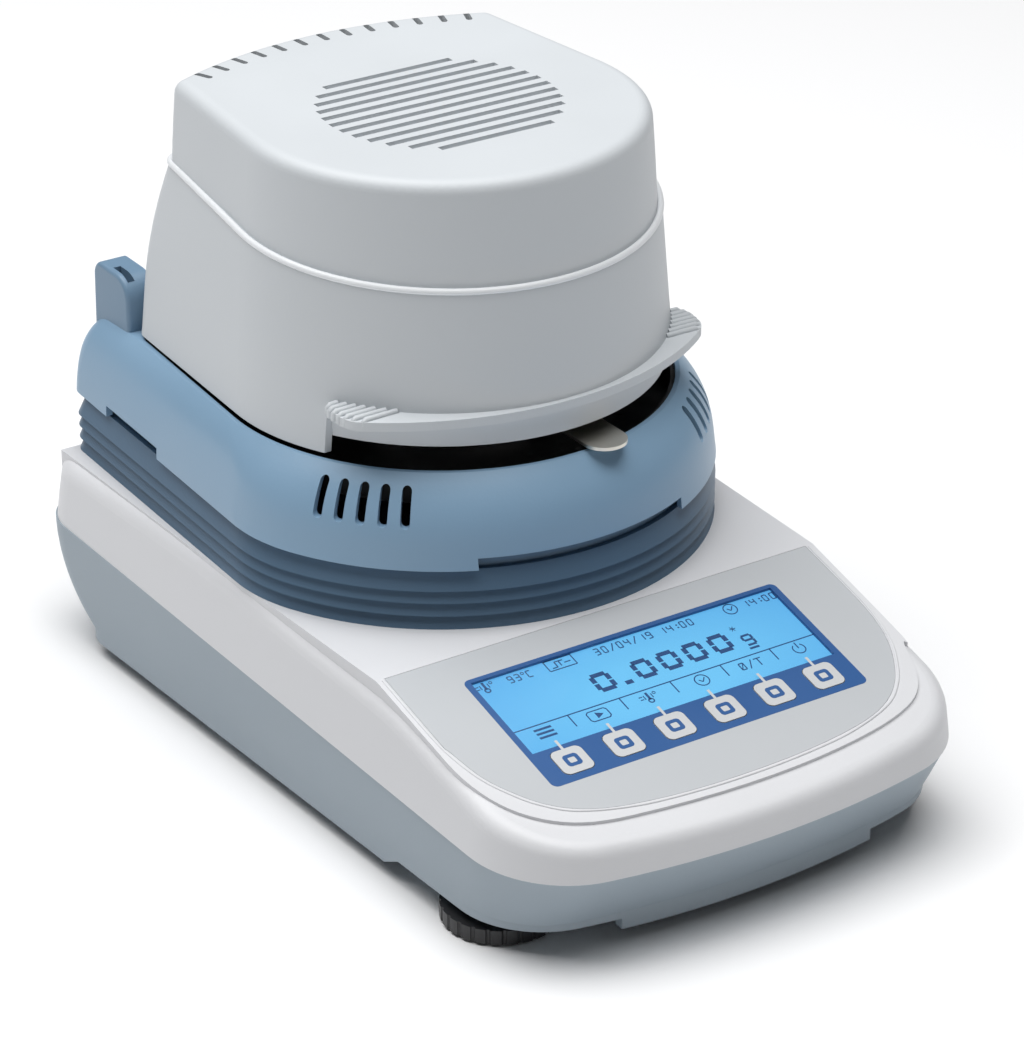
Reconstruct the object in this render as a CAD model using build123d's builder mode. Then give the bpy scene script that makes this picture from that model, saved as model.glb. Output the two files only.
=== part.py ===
from build123d import *
import math
import os

os.makedirs("parts", exist_ok=True)

# ---------------------------------------------------------------- driving dimensions (mm)
# Frame: z = 0 on the bench, +X to the user's right, front towards -Y,
# origin in the middle of the footprint.
PY = 39.5                 # weighing-pan axis, in Y
BASE_REAR = 157.5         # rear of the base at the joint line
BASE_FRONT = -159.5       # front of the base at the joint line
SEAM_K = 0.04             # slope of the joint line, rising to the rear
SEAM_Z0 = 34.5            # joint line height at SEAM_Y0
SEAM_Y0 = -110.5
DECK_Z = 68.0             # level deck under the collar
PANEL_Y = -69.3           # a point on the sloping panel
PANEL_Z = 65.22
PANEL_DEG = 13.69
TRAY_FLOOR = 9.5          # underside of the tray
SKIRT_Z = 5.5             # underside of the deep side bands
WALL = 2.8
COLLAR_R = 95.0
COLLAR_Z = 68.0
COVER_Z0 = 89.6           # lower edge of the chamber cover
COVER_Z1 = 119.5          # rim of the chamber opening
HINGE_Y = 133.5
HINGE_Z = 131.0
HOOD_Z0 = 121.0           # lower edge of the hood sides
LIP_Z0 = 136.1
LIP_Z1 = 139.3
SKIRT_BOT = 126.8         # lower edge of the recessed front skirt
LEDGE_Z = 183.8           # joint between the two hood shells at the pan axis
LEDGE_K = 0.047
HOOD_TOP = 217.25
PAN_R = 45.0
KEY_PITCH = 20.1
KEY_V = 47.1
FOOT_X = 72.6
FOOT_YF = -107.3
FOOT_YR = 100.0
FOOT_XR = 70.0

tanp = math.tan(math.radians(PANEL_DEG))
sinp = math.sin(math.radians(PANEL_DEG))
cosp = math.cos(math.radians(PANEL_DEG))
panel = Plane(origin=(0, PANEL_Y, PANEL_Z), x_dir=(1, 0, 0), z_dir=(0, -sinp, cosp))


def seam_z(y):
    return SEAM_Z0 + SEAM_K * (y - SEAM_Y0)


def done(builder, name):
    builder.part.label = name
    export_step(builder.part, "parts/" + name + ".step")
    bb = builder.part.bounding_box()
    print(name, len(builder.part.solids()), round(builder.part.volume, 1),
          [round(v, 1) for v in (bb.min.X, bb.min.Y, bb.min.Z, bb.max.X, bb.max.Y, bb.max.Z)])


def d_section(z, r, w0, m, y_corner, bow, rc, kink=60.0):
    """Closed D outline: round front of radius r about the pan axis, tapering
    sides of half-width w0 - m*(y - PY), bowed rear with rounded corners."""
    n = math.hypot(1.0, m)
    if w0 / n >= r:
        w0 = r * n
        yt = r * m / n
        xt = r / n
        tangent = True
    else:
        a = 1 + m * m
        b = -2 * w0 * m
        c = w0 * w0 - r * r
        yt = (-b - math.sqrt(b * b - 4 * a * c)) / (2 * a)
        xt = w0 - m * yt
        tangent = False
    xc = w0 - m * (y_corner - PY)
    with BuildSketch(Plane.XY.offset(z)) as sk:
        with BuildLine():
            ThreePointArc((xt, PY + yt), (0, PY - r), (-xt, PY + yt))
            Line((-xt, PY + yt), (-xc, y_corner))
            ThreePointArc((-xc, y_corner), (0, y_corner + bow), (xc, y_corner))
            Line((xc, y_corner), (xt, PY + yt))
        make_face()
        vs = sk.vertices()
        fillet([v for v in vs if v.Y > y_corner - 0.5], radius=rc)
        if not tangent:
            vs = sk.vertices()
            fillet([v for v in vs if abs(v.Y - PY - yt) < 0.2 and abs(abs(v.X) - xt) < 0.2], radius=kink)
    return sk.sketch


def base_section(z, w_rear, w_front, y_rear, y_front, rc_rear, rc_front, bow=13.0):
    """Closed outline of the base: tapering sides, bowed front, rounded corners."""
    with BuildSketch(Plane.XY.offset(z)) as sk:
        with BuildLine():
            Line((w_rear, y_rear), (w_front, y_front + bow))
            ThreePointArc((w_front, y_front + bow), (0, y_front), (-w_front, y_front + bow))
            Line((-w_front, y_front + bow), (-w_rear, y_rear))
            Line((-w_rear, y_rear), (w_rear, y_rear))
        make_face()
        vs = sk.vertices()
        fillet([v for v in vs if v.Y > 0], radius=rc_rear)
        vs = sk.vertices()
        fillet([v for v in vs if v.Y < y_front + bow + 1 and v.Y > y_front + bow - 1], radius=rc_front)
    return sk.sketch


# ---------------------------------------------------------------- base tray
tray_secs = [  # z, w_rear, w_front, y_rear, y_front, rc_rear, rc_front
    (9.5, 99.5, 89.0, 131.0, -146.2, 15, 32),
    (21.5, 100.5, 89.9, 148.0, -153.0, 17, 33),
    (33.0, 101.1, 90.4, 156.0, -159.4, 19, 35),
    (48.0, 101.3, 90.6, 158.2, -168.5, 20, 36),
]
with BuildPart() as base_tray:
    for s in tray_secs:
        add(base_section(*s))
    loft()
    # upright plinth band
    add(base_section(5.5, 99.6, 89.4, 131.0, -147.6, 15, 32))
    extrude(amount=22)
    # keep the parts below the joint line
    with BuildSketch(Plane.YZ.offset(-130)) as cut:
        with BuildLine():
            Polyline((-200, seam_z(-200)), (200, seam_z(200)), (200, 80), (-200, 80), close=True)
        make_face()
    extrude(amount=260, mode=Mode.SUBTRACT)
    # raised lower edge at the two front corners, with ramps
    with BuildSketch(Plane.YZ.offset(50.0)) as ramp:
        with BuildLine():
            Polyline((-66, 5), (-75, TRAY_FLOOR), (-170, TRAY_FLOOR), (-170, 5), close=True)
        make_face()
    extrude(amount=60, mode=Mode.SUBTRACT)
    with BuildSketch(Plane.YZ.offset(-50.0)) as ramp2:
        with BuildLine():
            Polyline((-66, 5), (-75, TRAY_FLOOR), (-170, TRAY_FLOOR), (-170, 5), close=True)
        make_face()
    extrude(amount=-60, mode=Mode.SUBTRACT)
    # underside recess inside the plinth band
    add(base_section(5.0, 96.4, 86.2, 127.8, -144.2, 12, 29))
    extrude(amount=TRAY_FLOOR - 5.0, mode=Mode.SUBTRACT)
    # hollow inside
    for s in [(TRAY_FLOOR + 3, 96.6, 86.2, 129.0, -144.6, 13, 29),
              (22.0, 97.4, 86.8, 144.5, -149.6, 14, 30),
              (33.0, 98.0, 87.4, 152.6, -156.2, 16, 32),
              (50.0, 98.2, 87.6, 155.0, -165.5, 17, 33)]:
        add(base_section(*s))
    loft(mode=Mode.SUBTRACT)
    # foot bosses and screw bosses
    with BuildSketch(Plane.XY.offset(TRAY_FLOOR)):
        with Locations((FOOT_X, FOOT_YF), (-FOOT_X, FOOT_YF), (FOOT_XR, FOOT_YR), (-FOOT_XR, FOOT_YR)):
            Circle(9)
    extrude(amount=20)
    with BuildSketch(Plane.XY.offset(TRAY_FLOOR)):
        with Locations((84, -20), (-84, -20), (86, 60), (-86, 60), (40, -128), (-40, -128)):
            Circle(5.5)
    extrude(amount=20)
    with Locations((FOOT_X, FOOT_YF, TRAY_FLOOR + 20), (-FOOT_X, FOOT_YF, TRAY_FLOOR + 20),
                   (FOOT_XR, FOOT_YR, TRAY_FLOOR + 20), (-FOOT_XR, FOOT_YR, TRAY_FLOOR + 20)):
        Hole(radius=5.0, depth=20.5)
    with Locations(Plane.XY.offset(TRAY_FLOOR + 20)):
        with Locations((84, -20), (-84, -20), (86, 60), (-86, 60), (40, -128), (-40, -128)):
            Hole(radius=2.05, depth=20.5)
    with BuildSketch(Plane.XY.offset(TRAY_FLOOR - 1)):
        with Locations((84, -20), (-84, -20), (86, 60), (-86, 60), (40, -128), (-40, -128)):
            Circle(3.9)
    extrude(amount=13, mode=Mode.SUBTRACT)
    # cooling slots in the floor
    with BuildSketch(Plane.XY.offset(TRAY_FLOOR - 1)):
        with GridLocations(10, 40, 7, 2):
            SlotOverall(30, 3.0, rotation=90)
    extrude(amount=6, mode=Mode.SUBTRACT)
done(base_tray, "base_tray")

# ---------------------------------------------------------------- panel outline
OVERLAY_T = 0.45
WIN_W, WIN_H, WIN_V = 122.0, 38.4, 20.6
KEY_W, KEY_H = 11.6, 11.2
INLET_X, INLET_W = 52.0, 31.0


def overlay_sketch(off):
    """Outline of the panel film on the sloping deck, inset by off."""
    right = [(85.3, -12), (84.7, -27), (81.8, -40.9), (77.2, -50.7), (71.0, -59.5), (61.0, -67.2), (42.0, -72.9)]
    n = [(1, 0), (1, 0), (.95, .3), (.85, .5), (.7, .7), (.5, .87), (.2, .98)]
    pr = [(x - off * a, y + off * b) for (x, y), (a, b) in zip(right, n)]
    with BuildSketch(panel) as sk:
        with BuildLine():
            Polyline((-85.3 + off, -12), (-85.3 + off, 11.73 - off), (85.3 - off, 11.73 - off), pr[0])
            Spline(*(pr + [(0, -75.9 + off)] + [(-x, y) for x, y in pr[::-1]]), tangents=((0, -1), (0, 1)))
        make_face()
        fillet([v for v in sk.vertices() if v.Z > PANEL_Z + 2.0], radius=3.0)
    return sk.sketch


# ---------------------------------------------------------------- base cover
def cover_top(y):
    """Height of the shoulder that runs round the deck."""
    a = DECK_Z - 0.35
    if y > PY:
        return a
    b = a - 0.038 * (PY - y)
    c = PANEL_Z + tanp * (y - PANEL_Y) - 1.1
    return min(b, c)


with BuildPart() as base_hollow:
    for s in [(28.0, 99.8, 88.8, 156.0, -157.6, 18, 34), (50.0, 97.0, 86.0, 153.8, -154.4, 17, 32),
              (72.0, 93.0, 82.6, 150.8, -150.8, 15, 29)]:
        add(base_section(*s))
    loft()
    with BuildSketch(Plane.YZ.offset(-130)):
        with BuildLine():
            Polyline((-200, PANEL_Z + tanp * (-200 - PANEL_Y) - 5.2), (-62, PANEL_Z + tanp * (-62 - PANEL_Y) - 5.2),
                     (-30, DECK_Z - 6.0), (200, DECK_Z - 3.6), (200, 100), (-200, 100), close=True)
        make_face()
    extrude(amount=260, mode=Mode.SUBTRACT)

with BuildPart() as base_cover:
    add(base_section(30.0, 102.5, 91.6, 159.2, -159.9, 21, 37))
    add(base_section(50.0, 100.3, 89.4, 157.8, -157.6, 20, 35))
    add(base_section(72.0, 96.6, 86.2, 155.8, -154.6, 18, 32))
    loft()
    with BuildSketch(Plane.YZ.offset(-130)) as cut:
        with BuildLine():
            Polyline((-200, seam_z(-200)), (200, seam_z(200)), (200, 20), (-200, 20), close=True)
        make_face()
    extrude(amount=260, mode=Mode.SUBTRACT)
    with BuildSketch(Plane.YZ.offset(-130)) as cut2:
        with BuildLine():
            Spline((200, cover_top(200)), (100, cover_top(100)), (40, cover_top(40)), (0, cover_top(0)),
                   (-40, cover_top(-40)), (-70, cover_top(-70) - 0.6), (-90, cover_top(-90)),
                   (-120, cover_top(-120)), (-150, cover_top(-150)), (-200, cover_top(-200)))
            Polyline((-200, cover_top(-200)), (-200, 95), (200, 95), (200, cover_top(200)))
        make_face()
    extrude(amount=260, mode=Mode.SUBTRACT)
    top = [f for f in base_cover.faces() if f.center().Z > 55 and f.normal_at(f.center()).Z > 0.9]
    fillet(top[0].edges(), radius=6.5)
    # raised deck: level round the collar, sloping under the panel
    with BuildSketch(Plane.XY.offset(38)) as dk:
        with BuildLine():
            Polyline((-93.4, 150.5), (-91.8, 40), (-88.4, -60), (-88.0, -100))
            Spline((-88.0, -100), (-86.6, -112), (-80.6, -126.5), (-66.0, -139.0), (-44, -144.2), (0, -147.0),
                   (44, -144.2), (66.0, -139.0), (80.6, -126.5), (86.6, -112), (88.0, -100),
                   tangents=((0.02, -1), (0.02, 1)))
            Polyline((88.0, -100), (88.4, -60), (91.8, 40), (93.4, 150.5), (-93.4, 150.5))
        make_face()
    extrude(amount=40)
    # cut everything above the deck surface
    with BuildSketch(Plane.YZ.offset(-130)) as cut3:
        with BuildLine():
            Polyline((-200, PANEL_Z + tanp * (-200 - PANEL_Y)),
                     (PANEL_Y + (DECK_Z - PANEL_Z) / tanp, DECK_Z), (200, DECK_Z), (200, 100), (-200, 100), close=True)
        make_face()
    extrude(amount=260, mode=Mode.SUBTRACT)
    # hollow inside
    add(base_hollow.part, mode=Mode.SUBTRACT)
    # recess for the overlay, window and key openings through the sloping deck
    add(overlay_sketch(0.0))
    extrude(amount=-OVERLAY_T, mode=Mode.SUBTRACT)
    with BuildSketch(panel):
        with Locations((0, -WIN_V)):
            RectangleRounded(WIN_W + 0.3, WIN_H + 0.3, 2.0)
        with Locations(*[(KEY_PITCH * (k - 2.5), -KEY_V) for k in range(6)]):
            RectangleRounded(KEY_W + 0.5, KEY_H + 0.5, 2.6)
    extrude(amount=-12, mode=Mode.SUBTRACT)
    # posts for the keypad board
    with BuildSketch(panel.offset(-11.0)):
        with Locations((71, 4), (-71, 4), (64, -50), (-64, -50)):
            Circle(3)
    extrude(amount=7.5)
    # pass-through for the weighing stem, collar screws
    with Locations((0, PY, DECK_Z)):
        Hole(radius=16, depth=12)
    with Locations((62, PY - 50, DECK_Z), (-62, PY - 50, DECK_Z), (66, 120, DECK_Z), (-66, 120, DECK_Z)):
        Hole(radius=1.8, depth=12)
    # posts that meet the tray's screw bosses
    with BuildSketch(Plane.XY.offset(TRAY_FLOOR + 20)):
        with Locations((84, -20), (-84, -20), (86, 60), (-86, 60)):
            Circle(5)
    extrude(amount=35)
    with BuildSketch(Plane.XY.offset(TRAY_FLOOR + 20)):
        with Locations((40, -128), (-40, -128)):
            Circle(5)
    extrude(amount=18)
    with BuildSketch(Plane.XY.offset(TRAY_FLOOR + 19)):
        with Locations((84, -20), (-84, -20), (86, 60), (-86, 60), (40, -128), (-40, -128)):
            Circle(1.75)
    extrude(amount=10.5, mode=Mode.SUBTRACT)
    # rear openings for the inlet and the connectors
    with BuildSketch(Plane.XZ.offset(-136)):
        with Locations((-INLET_X, 56.0)):
            Rectangle(INLET_W + 0.4, 20.4)
        with Locations((0, 56.0)):
            Rectangle(31.2, 13.2)
        with Locations((38, 56.0)):
            Rectangle(12.6, 11.6)
    extrude(amount=-34, mode=Mode.SUBTRACT)
done(base_cover, "base_cover")

# ---------------------------------------------------------------- panel
with BuildPart() as panel_overlay:
    add(overlay_sketch(0.15))
    extrude(amount=-OVERLAY_T)
    with BuildSketch(panel):
        with Locations((0, -WIN_V)):
            RectangleRounded(WIN_W + 0.3, WIN_H + 0.3, 2.0)
        with Locations(*[(KEY_PITCH * (k - 2.5), -KEY_V) for k in range(6)]):
            RectangleRounded(KEY_W + 0.5, KEY_H + 0.5, 2.6)
    extrude(amount=-2, mode=Mode.SUBTRACT)
done(panel_overlay, "panel_overlay")

with BuildPart() as display_window:
    with BuildSketch(panel):
        with Locations((0, -WIN_V)):
            RectangleRounded(WIN_W, WIN_H, 2.0)
    extrude(amount=-1.2)
done(display_window, "display_window")

with BuildPart() as lcd_module:
    with BuildSketch(panel.offset(-1.2)):
        with Locations((0, -WIN_V)):
            Rectangle(WIN_W - 1.0, WIN_H - 1.0)
    extrude(amount=-5.2)
    with BuildSketch(panel.offset(-6.4)):
        with Locations((0, -WIN_V)):
            Rectangle(132, 44)
    extrude(amount=-3.6)
done(lcd_module, "lcd_module")

with BuildPart() as display_board:
    with BuildSketch(panel.offset(-11.0)):
        with Locations((0, -22)):
            Rectangle(150, 64)
    extrude(amount=-1.6)
    with BuildSketch(panel.offset(-12.6)):
        with Locations((-30, -20), (30, -20)):
            Rectangle(14, 14)
        with Locations((0, 2)):
            Rectangle(30, 5)
    extrude(amount=-2.0)
done(display_board, "display_board")

with BuildPart() as key_domes:
    with BuildSketch(panel.offset(-11.0)):
        with Locations(*[(KEY_PITCH * (k - 2.5), -KEY_V) for k in range(6)]):
            Circle(4.0)
    extrude(amount=0.4)
done(key_domes, "key_domes")

keys = []
for k in range(6):
    with BuildPart() as key:
        with BuildSketch(panel.offset(0.25)):
            with Locations((KEY_PITCH * (k - 2.5), -KEY_V)):
                RectangleRounded(KEY_W, KEY_H, 2.4)
        extrude(amount=-0.9)
        with BuildSketch(panel.offset(-0.5)):
            with Locations((KEY_PITCH * (k - 2.5), -KEY_V)):
                Circle(2.2)
        extrude(amount=-9.55)
    done(key, "key_%d" % (k + 1))

# ---------------------------------------------------------------- ribbed collar
with BuildPart() as ribbed_collar:
    for z0, z1, r1 in ((68.0, 72.9, 93.0), (72.9, 77.6, 93.0), (77.6, 82.1, 93.0), (82.1, 88.9, 92.2)):
        add(d_section(z0, 95.0, 91.3, 0.035, 152.5, 1.0, 8))
        add(d_section(z1, r1, 91.3 + r1 - 95, 0.035, 152.5 + r1 - 95, 1.0, 6))
        loft()
    add(d_section(88.9, 90.4, 86.7, 0.04, 149.0, 1.0, 6))
    extrude(amount=8.0)
    add(d_section(67.0, 88.2, 84.5, 0.035, 146.0, 1.0, 5))
    extrude(amount=40, mode=Mode.SUBTRACT)
    # foot flange with screw holes
    add(d_section(68.0, 89.6, 85.9, 0.035, 147.0, 1.0, 5))
    extrude(amount=2.4)
    with BuildSketch(Plane.XY.offset(67.0)):
        with Locations((0, 52)):
            RectangleRounded(104, 138, 40)
    extrude(amount=6, mode=Mode.SUBTRACT)
    with Locations((62, PY - 50, 70.4), (-62, PY - 50, 70.4), (66, 120, 70.4), (-66, 120, 70.4)):
        Hole(radius=1.8, depth=5)
done(ribbed_collar, "ribbed_collar")

# ---------------------------------------------------------------- chamber cover
cover_secs = [  # z, r, w0, m, y_corner
    (89.6, 95.0, 91.2, 0.045, 156.4),
    (101.0, 93.4, 90.2, 0.045, 155.4),
    (108.7, 90.7, 88.6, 0.047, 153.9),
    (115.0, 86.3, 86.0, 0.052, 151.0),
    (119.5, 81.9, 83.2, 0.06, 147.6),
]
with BuildPart() as cover_outer:
    for z, r, w, m, yc in cover_secs:
        add(d_section(z, r, w, m, yc, 1.0, 9))
    loft()
with BuildPart() as chamber_cover:
    add(cover_outer.part)
    add(d_section(88.0, 92.3, 88.6, 0.045, 153.6, 1.0, 7))
    add(d_section(101.0, 90.8, 87.6, 0.045, 152.6, 1.0, 7))
    add(d_section(108.7, 87.8, 85.8, 0.047, 150.8, 1.0, 7))
    add(d_section(116.9, 81.6, 82.0, 0.055, 145.6, 1.0, 7))
    loft(mode=Mode.SUBTRACT)
    # opening of the sample chamber
    add(d_section(112.0, 80.3, 82.0, 0.07, 123.0, 1.0, 8))
    extrude(amount=20, mode=Mode.SUBTRACT)
    # vent slots, five on each side of the front
    for i in range(5):
        for sgn in (-1, 1):
            a = math.radians(40.45 + 4.74 * i)
            d = (sgn * math.sin(a), -math.cos(a))
            with BuildSketch(Plane(origin=(d[0] * 78, PY + d[1] * 78, 109.9), x_dir=(-d[1], d[0], 0), z_dir=(d[0], d[1], 0))):
                SlotOverall(12.6, 3.3, rotation=90)
            extrude(amount=24, mode=Mode.SUBTRACT)
    # raised stretches of the lower edge
    with Locations((0, PY - 90, 89.6)):
        Box(82, 60, 8.4, mode=Mode.SUBTRACT)
    with Locations((90, 105.5, 89.6), (-90, 105.5, 89.6)):
        Box(30, 40, 8.4, mode=Mode.SUBTRACT)
    # fixing bosses inside
    with BuildSketch(Plane.XY.offset(100)):
        with Locations((70, 132), (-70, 132)):
            Circle(4)
    extrude(amount=17.5)
    with Locations((70, 132, 100), (-70, 132, 100)):
        Cylinder(1.7, 24, mode=Mode.SUBTRACT)
done(chamber_cover, "chamber_cover")

# ---------------------------------------------------------------- hinge housing
with BuildPart() as hinge_housing:
    for sgn in (-1, 1):
        with BuildSketch(Plane.YZ.offset(sgn * 66.0)):
            with BuildLine():
                Line((125.2, 106), (125.2, 131.0))
                ThreePointArc((125.2, 131.0), (127.63, 136.87), (133.5, 139.3))
                Line((133.5, 139.3), (145.0, 139.3))
                ThreePointArc((145.0, 139.3), (148.6, 137.8), (150.3, 134.4))
                Polyline((150.3, 134.4), (151.2, 106), (125.2, 106))
            make_face()
        extrude(amount=sgn * 11.0)
    es = [e for e in hinge_housing.edges() if abs(abs(e.center().X) - 77.0) < 0.01 and e.center().Z > 107 and e.center().Z < 140]
    fillet(es, radius=1.6)
    # low bar that joins the two towers
    with BuildSketch(Plane.XY.offset(106)):
        with Locations((0, 145.6)):
            Rectangle(144, 9)
    extrude(amount=15.4)
    # narrow pockets in the tops of the towers
    with Locations((73.5, 133.4, 139.3), (-73.5, 133.4, 139.3)):
        Box(2.8, 10.5, 14, mode=Mode.SUBTRACT)
    # pin holes
    with Locations((0, HINGE_Y, HINGE_Z)):
        Cylinder(3.05, 143.0, rotation=(0, 90, 0), mode=Mode.SUBTRACT)
    # sits on the cover
    add(cover_outer.part, mode=Mode.SUBTRACT)
done(hinge_housing, "hinge_housing")

# ---------------------------------------------------------------- chamber floor
with BuildPart() as heat_shield:
    add(d_section(115.7, 81.2, 81.4, 0.06, 127.0, 1.0, 8))
    extrude(amount=1.2)
    add(d_section(107.0, 79.8, 81.0, 0.07, 122.4, 1.0, 8))
    extrude(amount=11.2)
    add(d_section(108.2, 78.6, 79.8, 0.07, 121.2, 1.0, 7))
    extrude(amount=12, mode=Mode.SUBTRACT)
    with Locations((0, PY, 110)):
        Hole(radius=12, depth=12)
done(heat_shield, "heat_shield")

with BuildPart() as draft_shield:
    with BuildSketch(Plane.XY.offset(108.2)):
        with Locations((0, PY)):
            Circle(58)
            Circle(56.6, mode=Mode.SUBTRACT)
    extrude(amount=8.6)
done(draft_shield, "draft_shield")

# ---------------------------------------------------------------- weighing train
with BuildPart() as weighing_stem:
    with Locations((0, PY, 84)):
        Cylinder(4, 58)
    with Locations((0, PY, 57.5)):
        Cylinder(9, 5)
done(weighing_stem, "weighing_stem")

with BuildPart() as pan_support:
    with Locations((0, PY, 114.6)):
        Cylinder(8, 3.2)
        Box(76, 6, 1.8)
        Box(6, 76, 1.8)
    with Locations((36, PY, 115.3), (-36, PY, 115.3), (0, PY + 36, 115.3), (0, PY - 36, 115.3)):
        Cylinder(2.2, 3.2)
done(pan_support, "pan_support")

with BuildPart() as sample_pan:
    with BuildSketch(Plane(origin=(0, PY, 0), x_dir=(1, 0, 0), z_dir=(0, -1, 0))):
        with BuildLine():
            Polyline((0, 116.95), (43.2, 116.95), (45.0, 118.4), (45.0, 122.2), (47.4, 122.2), (47.4, 122.9), (44.2, 122.9),
                     (44.2, 118.8), (42.8, 117.65), (0, 117.65), close=True)
        make_face()
    revolve(axis=Axis((0, PY, 0), (0, 0, 1)))
done(sample_pan, "sample_pan")

with BuildPart() as pan_handler:
    with BuildSketch(Plane.XY.offset(120.4)):
        with Locations((0, PY)):
            Circle(54)
            Circle(45.3, mode=Mode.SUBTRACT)
    extrude(amount=1.7)
    with BuildSketch(Plane.XY.offset(120.9)):
        with Locations((12, PY - 66)):
            SlotOverall(45, 16, rotation=90)
        with Locations((0, PY)):
            Circle(50, mode=Mode.SUBTRACT)
    extrude(amount=1.2)
done(pan_handler, "pan_handler")

# ---------------------------------------------------------------- load cell and its casting
with BuildPart() as cell_casting:
    with BuildSketch(Plane.XY.offset(TRAY_FLOOR + 3)):
        with Locations((0, 10)):
            RectangleRounded(70, 150, 8)
    extrude(amount=5)
    with BuildSketch(Plane.XY.offset(TRAY_FLOOR + 8)):
        with Locations((0, -38)):
            Rectangle(30, 34)
    extrude(amount=14.5)
done(cell_casting, "cell_casting")

with BuildPart() as load_cell:
    with BuildSketch(Plane.XY.offset(32)):
        with Locations((0, 4)):
            Rectangle(24, 118)
    extrude(amount=22)
    with BuildSketch(Plane.YZ.offset(-20)):
        with Locations((-12, 43), (24, 43)):
            Circle(8)
        with Locations((6, 43)):
            Rectangle(36, 6)
    extrude(amount=40, mode=Mode.SUBTRACT)
done(load_cell, "load_cell")

# ---------------------------------------------------------------- electronics
with BuildPart() as main_board:
    with BuildSketch(Plane.XY.offset(32)):
        with Locations((-56, 85)):
            Rectangle(44, 98)
    extrude(amount=1.6)
    with BuildSketch(Plane.XY.offset(33.6)):
        with Locations((-62, 66), (-52, 100)):
            Rectangle(16, 16)
        with Locations((-42, 70)):
            Rectangle(6, 24)
    extrude(amount=3)
    with BuildSketch(Plane.XY.offset(TRAY_FLOOR + 3)):
        with Locations((-72, 42), (-40, 42), (-40, 122), (-72, 122)):
            Circle(2.5)
    extrude(amount=19.5)
done(main_board, "main_board")

with BuildPart() as power_supply:
    with BuildSketch(Plane.XY.offset(31)):
        with Locations((56, 85)):
            Rectangle(44, 92)
    extrude(amount=1.6)
    with BuildSketch(Plane.XY.offset(32.6)):
        with Locations((56, 108)):
            Rectangle(36, 32)
    extrude(amount=26)
    with BuildSketch(Plane.XY.offset(32.6)):
        with Locations((44, 66), (60, 62), (70, 74)):
            Circle(6)
    extrude(amount=20)
    with BuildSketch(Plane.XY.offset(TRAY_FLOOR + 3)):
        with Locations((40, 46), (72, 46), (40, 121), (72, 121)):
            Circle(2.5)
    extrude(amount=18.5)
done(power_supply, "power_supply")

with BuildPart() as power_inlet:
    with BuildSketch(Plane.XZ.offset(-159.5)):
        with Locations((-INLET_X, 56.0)):
            RectangleRounded(INLET_W, 20.0, 1.5)
    extrude(amount=22)
    with BuildSketch(Plane.XZ.offset(-159.5)):
        with Locations((-INLET_X, 56.0)):
            RectangleRounded(24.4, 16.4, 3.0)
    extrude(amount=16, mode=Mode.SUBTRACT)
    with BuildSketch(Plane.XZ.offset(-143.5)):
        with Locations((-INLET_X, 58.0), (-INLET_X - 7, 54.0), (-INLET_X + 7, 54.0)):
            Rectangle(2.0, 4.0)
    extrude(amount=-13)
done(power_inlet, "power_inlet")

with BuildPart() as serial_port:
    with BuildSketch(Plane.XZ.offset(-159.0)):
        with Locations((0, 56.0)):
            RectangleRounded(30.8, 12.8, 1.0)
    extrude(amount=12)
    with BuildSketch(Plane.XZ.offset(-159.0)):
        with Locations((0, 56.0)):
            Trapezoid(18.0, 9.0, 80, rotation=180)
    extrude(amount=6, mode=Mode.SUBTRACT)
done(serial_port, "serial_port")

with BuildPart() as usb_port:
    with BuildSketch(Plane.XZ.offset(-159.0)):
        with Locations((38, 56.0)):
            RectangleRounded(12.2, 11.2, 0.8)
    extrude(amount=14)
    with BuildSketch(Plane.XZ.offset(-159.0)):
        with Locations((38, 56.0)):
            Rectangle(8.6, 7.8)
    extrude(amount=9, mode=Mode.SUBTRACT)
    with BuildSketch(Plane.XZ.offset(-150.0)):
        with Locations((38, 56.0)):
            Rectangle(5.6, 3.0)
    extrude(amount=-7)
done(usb_port, "usb_port")

# ---------------------------------------------------------------- levelling feet
feet = [(-FOOT_X, FOOT_YF), (FOOT_X, FOOT_YF), (-FOOT_XR, FOOT_YR), (FOOT_XR, FOOT_YR)]
for i, (fx, fy) in enumerate(feet):
    with BuildPart() as foot_pad:
        with BuildSketch(Plane.XY):
            with Locations((fx, fy)):
                Circle(12)
        extrude(amount=3.0)
        fillet([e for e in foot_pad.edges() if e.center().Z < 0.1], radius=0.6)
    done(foot_pad, "foot_pad_%d" % (i + 1))
    with BuildPart() as foot_wheel:
        with BuildSketch(Plane.XY.offset(0.8)):
            with Locations((fx, fy)):
                Circle(20)
                with PolarLocations(20.3, 24):
                    Circle(0.9, mode=Mode.SUBTRACT)
        extrude(amount=5.2)
        with BuildSketch(Plane.XY.offset(0.8)):
            with Locations((fx, fy)):
                Circle(12.35)
        extrude(amount=2.25, mode=Mode.SUBTRACT)
        with BuildSketch(Plane.XY.offset(6.0)):
            with Locations((fx, fy)):
                Circle(4.0)
        extrude(amount=20)
    done(foot_wheel, "foot_wheel_%d" % (i + 1))

with BuildPart() as threaded_inserts:
    with BuildSketch(Plane.XY.offset(TRAY_FLOOR)):
        with Locations(*feet):
            Circle(4.97)
            Circle(4.05, mode=Mode.SUBTRACT)
    extrude(amount=19.5)
done(threaded_inserts, "threaded_inserts")

with BuildPart() as base_screws:
    with BuildSketch(Plane.XY.offset(18.0)):
        with Locations((84, -20), (-84, -20), (86, 60), (-86, 60), (40, -128), (-40, -128)):
            Circle(3.5)
    extrude(amount=3.4)
    with BuildSketch(Plane.XY.offset(21.4)):
        with Locations((84, -20), (-84, -20), (86, 60), (-86, 60), (40, -128), (-40, -128)):
            Circle(1.65)
    extrude(amount=16)
done(base_screws, "base_screws")

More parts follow.
